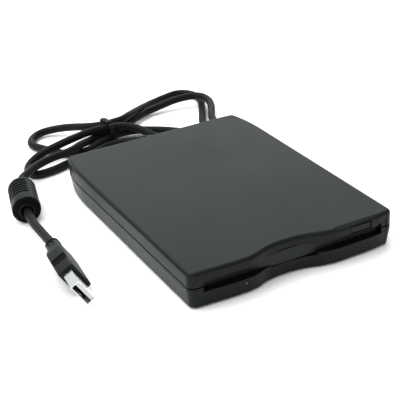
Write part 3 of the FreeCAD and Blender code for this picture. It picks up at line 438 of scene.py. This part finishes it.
def bead_relief(z, a, r):
    a = -a
    if r < BEAD_R - 0.9 or z < 0.4 or z > BEAD_L - 0.4:
        return r
    mask = smooth((GROOVE_REACH - abs(angle_from(a, GROOVE_MID))) / GROOVE_RUNOUT)
    depth = 0.0
    for k in range(GROOVES):
        off = abs(z - (GROOVE_FIRST + GROOVE_PITCH * k))
        depth = max(depth, 1 - smooth((off - GROOVE_HALF) / GROOVE_FLANK))
    r -= GROOVE_DEPTH * mask * depth
    for s in (SPLIT, SPLIT + math.pi):
        r -= SPLIT_DEPTH * (1 - smooth((abs(angle_from(a, s)) * BEAD_R - 0.1) / 0.35))
    return r


near = [(1.5, 2.4), (1.5, 2.75), (-0.7, 2.85), (-1.1, 3.0), (-1.3, 3.3), (-1.25, 3.75), (-1.0, 4.1),
        (-0.2, 4.2), (0.0, 4.4), (0.0, 5.0)]
near += arc_steps(0.0, BEAD_R - BEAD_EDGE, BEAD_EDGE, BEAD_R, 6)
barrel = [(BEAD_EDGE + (BEAD_L - 2 * BEAD_EDGE) * k / BARREL_STEPS, BEAD_R)
          for k in range(1, BARREL_STEPS)]
far = [(BEAD_L - z, r) for z, r in near[::-1]]
bead = turned("ferrite_cover_barrel", near + barrel + far, bead_at, bead_axis, bead_axis.cross(UP),
              144, bead_relief)
paint(bead, "bead_black", "pad_black")
# The second material, pad_black, is painted shade: on the end faces, in the bore and in the
# grooves.
for p in bead.data.polygons:
    z = (p.center / MM - bead_at).dot(bead_axis)
    r = (p.center / MM - bead_at - bead_axis * z).length
    end_face_shade = (z < 0.5 or z > BEAD_L - 0.5) and r > 4.15
    bore_shade = r < 3.0
    groove_shade = 0.5 < z < BEAD_L - 0.5 and r < BEAD_R - 0.5
    p.material_index = 1 if end_face_shade or bore_shade or groove_shade else 0
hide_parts("ferrite_cover")

# ---- plug grip: collar, neck with slots, shoulders, finger pads, frame round the metal shell ----
PLUG_ROLL = math.radians(58.0)
plug_axis = Vector((-0.0955, -0.9954, 0.0)).normalized()
flat_right = Vector((-plug_axis.y, plug_axis.x, 0))
wide = flat_right * math.cos(PLUG_ROLL) - UP * math.sin(PLUG_ROLL)
thick = plug_axis.cross(wide)
GRIP_W, GRIP_T, GRIP_END = 15.2, 7.8, 34.9
RING_FROM, RING_TO = 0.95, 1.85              # the groove round the neck
PAD_FROM, PAD_TO, PAD_IN = 23.2, 28.2, 0.35
STATIONS = [                                 # distance along the plug, width, thickness, corner
    (0.0, 6.3, 5.7, 2.5), (0.12, 6.9, 6.3, 2.5), (0.35, 7.3, 6.7, 2.6), (0.85, 7.3, 6.7, 2.6),
    (RING_FROM, 6.2, 5.6, 2.4), (RING_TO, 6.1, 5.5, 2.3), (1.95, 7.0, 6.3, 2.2),
    (2.9, 7.2, 6.4, 2.1), (4.2, 7.5, 6.5, 1.95), (4.8, 7.6, 6.5, 1.9), (7.2, 8.2, 6.6, 1.6),
    (8.2, 8.6, 6.7, 1.4), (8.9, 9.3, 7.1, 1.3), (9.6, 10.0, 7.6, 1.2), (10.2, 10.6, GRIP_T, 1.1),
    (12.0, 12.2, GRIP_T, 1.0), (14.0, 13.9, GRIP_T, 1.0), (15.3, 14.8, GRIP_T, 1.0),
    (16.5, GRIP_W, GRIP_T, 1.0), (23.15, GRIP_W, GRIP_T, 1.0), (23.25, GRIP_W, GRIP_T, 1.0),
    (28.15, GRIP_W, GRIP_T, 1.0), (28.25, GRIP_W, GRIP_T, 1.0), (34.2, GRIP_W, GRIP_T, 1.0),
    (34.6, 15.05, 7.65, 0.95), (34.85, 14.7, 7.3, 0.8), (GRIP_END, 14.3, 6.9, 0.7),
    (GRIP_END, 12.7, 5.2, 0.7), (34.6, 12.2, 4.7, 0.5), (33.2, 12.1, 4.6, 0.5)]
rings = []
for z, w, t, r in STATIONS:
    limit = w / 2 - (PAD_IN if PAD_FROM < z < PAD_TO else 0.0)
    rings.append([CORD_END + wide * max(-limit, min(limit, x)) + thick * y + plug_axis * z
                  for x, y in rounded_rect(w, t, r)])
grip = lofted("plug_grip_body", rings)


def grip_place(p):
    """How far p is from the plug's middle in width and thickness, and how far along it."""
    q = p / MM - CORD_END
    return abs(q.dot(wide)), abs(q.dot(thick)), q.dot(plug_axis)


def neck_faces(bm, z0, z1, y0, y1):
    """Faces of the neck's two narrow sides whose middle lies within these limits."""
    found = []
    for f in bm.faces:
        x, y, z = grip_place(f.calc_center_median())
        if x > 2.4 and z0 < z < z1 and y0 < y < y1:
            found.append(f)
    return found


bm = bmesh.new()
bm.from_mesh(grip.data)
for cuts in (1, 2):                          # finer faces, for the slots to be cut from
    region = neck_faces(bm, 2.9, 4.8, -0.1, 2.6)
    bmesh.ops.subdivide_edges(bm, edges=list({e for f in region for e in f.edges}), cuts=cuts,
                              use_grid_fill=True)
slots = neck_faces(bm, 3.0, 4.4, 0.65, 1.95)
for sink in (0.1, 0.9):                      # a narrow lip, then the slot's depth
    bmesh.ops.inset_region(bm, faces=slots, thickness=0.05 * MM, depth=-sink * MM)
bm.to_mesh(grip.data)
bm.free()
shade(grip)
paint(grip, "grip_black", "pad_black")
# pad_black is painted shade in the neck's slots and in the groove round the neck (ring). It also
# covers the finger pads.
for p in grip.data.polygons:
    x, y, z = grip_place(p.center)
    pad = PAD_FROM < z < PAD_TO and x > 7.1
    slot_shade = 2.9 < z < 4.5 and x < 3.25 and y < 2.0
    ring = 0.86 < z < 1.94
    p.material_index = 1 if pad or slot_shade or ring else 0
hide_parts("plug_grip")

# ---- strain relief: collar and a ribbed taper whose cuts alternate ----
BACK_Y = 71.75                               # rear wall of the case; the front wall is opposite
CUT_FROM, CUT_TO, CUT_FIRST, CUT_PITCH = 2.6, 12.2, 3.8, 2.4
CUT_BOTTOM = 2.6
TAPER_STEP, TAPER_SLOPE = 0.2, 0.0855


def relief_shape(z, a, r):
    if z < CUT_FROM or z > CUT_TO:
        return r
    k = int((z - CUT_FROM) // CUT_PITCH)
    off = abs(z - (CUT_FIRST + CUT_PITCH * k))
    turn = abs(math.sin(a)) if k % 2 else abs(math.cos(a))
    return r - (r - CUT_BOTTOM) * (1 - smooth((off - 0.4) / 0.25)) * smooth((turn - 0.34) / 0.2)


taper = [(-3.0, 2.95), (-0.05, 2.95), (0.0, 4.0)] + arc_steps(1.3, 4.0, 1.8, 3.55, 4, out=False)[1:]
taper += [(1.9 + TAPER_STEP * k, 3.62 - TAPER_SLOPE * TAPER_STEP * k) for k in range(0, 55)]
taper += [(12.85, 2.62), (13.0, 2.45), (12.9, 2.28), (11.5, 2.25), (-3.0, 2.25)]
boot_at = Vector((8.0, BACK_Y, 6.5))
boot = turned("strain_relief_boot", taper, boot_at, REAR, RIGHT, 96, relief_shape)
paint(boot, "cord_black")
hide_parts("strain_relief")

# ---- cable tie: a strap with fine ridges, its head and the tail that sticks out of it ----
TIE_X, TIE_W, TIE_T = -7.8, 2.4, 0.9
TIE_Y, TIE_Z, TIE_R = (110.0, 123.8), (0.9, 11.2), 2.1   # the inside of the strap's loop
RIDGE = 0.06
y0, y1 = TIE_Y[0] - TIE_T / 2, TIE_Y[1] + TIE_T / 2
z0, z1 = TIE_Z[0] - TIE_T / 2, TIE_Z[1] + TIE_T / 2
tie_mid = Vector((TIE_X, (y0 + y1) / 2, (z0 + z1) / 2))
track = rounded_rect(y1 - y0, z1 - z0, TIE_R + TIE_T / 2, 10, 34)
rings = []
for i, (py, pz) in enumerate(track):
    a, b = track[i - 1], track[(i + 1) % len(track)]
    out = Vector((0, b[0] - a[0], b[1] - a[1])).normalized().cross(RIGHT)
    centre = tie_mid + Vector((0, py, pz))
    out = out if out.dot(centre - tie_mid) > 0 else -out
    sink = RIDGE if i % 2 else 0.0
    rings.append([centre + RIGHT * u + out * (v - (sink if v > 0.1 and abs(u) < 0.7 else 0.0))
                  for u, v in rounded_rect(TIE_W, TIE_T - 0.02, 0.22, 3, 4)])
strap = lofted("cable_tie_strap", rings, closed=True, angle=50.0)
paint(strap, "tie_black")
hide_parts("cable_tie")
head = block("cable_tie_head", Vector((TIE_X, 114.0, 12.3)), (3.3, 2.6, 1.4), 0.4, 4)
paint(head, "tie_black")
tail = block("cable_tie_tail", Vector((TIE_X, 117.0, 12.4)), (2.2, 4.4, 0.7), 0.18, 3)
paint(tail, "tie_black")

# ---- lamp: a small dome in a dark collar ----
DOME_R = 0.74
lamp_at = Vector((-25.3, -BACK_Y + 0.1, 5.8))
collar = [(11.0, 0.78), (11.0, 1.24), (0.35, 1.24), (0.22, 1.2), (0.18, 1.1), (0.3, 0.85),
          (0.6, 0.76)]
paint(turned("led_collar", collar, lamp_at, REAR, RIGHT, 48), "door_black")
dome = [(10.5, 0.05), (10.5, DOME_R), (0.42, DOME_R)]
dome += [(0.42 - 0.3 * math.sin(k * math.pi / 16), DOME_R * math.cos(k * math.pi / 16))
         for k in range(1, 8)]
dome += [(0.12, 0.02)]
lens = turned("led_lens_dome", dome, lamp_at, REAR, RIGHT, 40, closed=False)
paint(lens, "lens_clear")
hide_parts("led_lens")

# ---- rubber feet: discs with a rounded rim and a shallow ring ----
FOOT_R, FOOT_RIM = 4.9, 0.35
lo, hi = (Vector(corner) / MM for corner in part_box("rubber_feet"))
foot = [(1.1, 0.05), (1.1, FOOT_R - 0.05), (0.9, FOOT_R), (FOOT_RIM, FOOT_R)]
foot += arc_steps(FOOT_RIM, FOOT_R, 0.0, FOOT_R - FOOT_RIM, 4, out=False)[1:]
foot += [(0.0, 4.0), (0.14, 3.85), (0.14, 3.5), (0.0, 3.35), (0.0, 0.05)]
middles = [(x, y) for x in (lo.x + FOOT_R, hi.x - FOOT_R) for y in (lo.y + FOOT_R, hi.y - FOOT_R)]
for i, (x, y) in enumerate(middles):
    disc = turned("rubber_foot_%d" % (i + 1), foot, Vector((x, y, 0)), UP, RIGHT, 64, closed=False)
    paint(disc, "rubber_black")
    if i == 0:
        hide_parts("rubber_feet")

# ------------------------------------------------------------------ floor
FLOOR_WHITE = 1.2                            # the floor as the camera and reflections see it
SHEEN = (0.94, 1.0, 0.98)                    # tint of what glossy surfaces reflect
bm = bmesh.new()
bmesh.ops.create_grid(bm, x_segments=1, y_segments=1, size=3.0)
me = bpy.data.meshes.new("floor")
bm.to_mesh(me)
bm.free()
floor = link(bpy.data.objects.new("floor", me))
floor.location = (0, 0, -0.00005)
fm = Mat("floor_white")
ray = fm.node("ShaderNodeLightPath").outputs
seen = fm.math("MAXIMUM", ray["Is Camera Ray"],
               fm.math("MAXIMUM", ray["Is Glossy Ray"], ray["Is Transmission Ray"]))
paper = fm.mix(fm.span(fm.noise(9.0, 3.0), 0.3, 0.7, 0.0, 1.0), (0.89, 0.89, 0.89),
               (0.91, 0.91, 0.91))
pale = fm.mix(ray["Is Glossy Ray"], (FLOOR_WHITE,) * 3, [FLOOR_WHITE * c for c in SHEEN])
matt = fm.node("ShaderNodeBsdfDiffuse", [("Color", fm.mix(seen, paper, pale))])
fm.tree.links.new(matt.outputs["BSDF"], fm.tree.nodes["Material Output"].inputs["Surface"])
fm.tree.nodes.remove(fm.bsdf)
me.materials.append(fm.mat)

# ------------------------------------------------------------------ world
SKY = 0.74                                   # strength of the light all round
SKY_FRONT, SKY_REAR, SKY_RIGHT = 0.70, 1.74, 0.42        # and where it differs
world = bpy.data.worlds.new("studio")
bpy.context.scene.world = world
world.use_nodes = True
wt = world.node_tree
view_dir = add_node(wt, "ShaderNodeTexCoord").outputs["Generated"]


def toward(direction, a, b, lo, hi):
    """Strength that goes from lo to hi as the ray turns towards direction."""
    dot = add_node(wt, "ShaderNodeVectorMath", [(0, view_dir), (1, Vector(direction).normalized())],
                   operation="DOT_PRODUCT")
    n = add_node(wt, "ShaderNodeMapRange",
                 [("Value", dot.outputs["Value"]), ("From Min", a), ("From Max", b),
                  ("To Min", lo), ("To Max", hi)], interpolation_type="SMOOTHSTEP")
    return n.outputs["Result"]


strength = toward((0.40, 0.80, 0.45), 0.7, 1.0, SKY, SKY_REAR)
for part in (toward((0.2, -1.0, 0.5), 0.2, 0.95, 0.0, SKY_FRONT - SKY),
             toward((1.0, -0.1, 0.2), 0.35, 0.9, 0.0, SKY_RIGHT - SKY)):
    strength = add_node(wt, "ShaderNodeMath", [(0, strength), (1, part)],
                        operation="ADD").outputs[0]
path = add_node(wt, "ShaderNodeLightPath").outputs
tint = add_node(wt, "ShaderNodeMix", [("Factor", path["Is Glossy Ray"]), ("A", (1, 1, 1, 1)),
                                      ("B", (*SHEEN, 1))], data_type="RGBA")
light = wt.nodes.get("Background")
feed(wt, light.inputs["Strength"], strength)
feed(wt, light.inputs["Color"], tint.outputs["Result"])
white = add_node(wt, "ShaderNodeBackground", [("Color", (1, 1, 1, 1)), ("Strength", 1.0)])
either = add_node(wt, "ShaderNodeMixShader", [("Fac", path["Is Camera Ray"]),
                                              (1, light.outputs["Background"]),
                                              (2, white.outputs["Background"])])
feed(wt, wt.nodes["World Output"].inputs["Surface"], either.outputs["Shader"])

# ------------------------------------------------------------------ lamps
KEY, LEFT = 9.5, 4.0


def area(name, loc, side, power):
    """A square lamp at loc that points at the origin."""
    lamp = bpy.data.lights.new(name, "AREA")
    lamp.shape = "RECTANGLE"
    lamp.size = lamp.size_y = side
    lamp.energy = power
    obj = link(bpy.data.objects.new(name, lamp))
    obj.location = loc
    obj.rotation_euler = (-Vector(loc)).to_track_quat("-Z", "Y").to_euler()


area("key", (-0.25, 0.25, 1.0), 1.2, KEY)
area("left", (-1.1, 0.1, 0.6), 0.8, LEFT)
bpy.context.scene.view_settings.view_transform = "Standard"

bpy.context.view_layer.update()
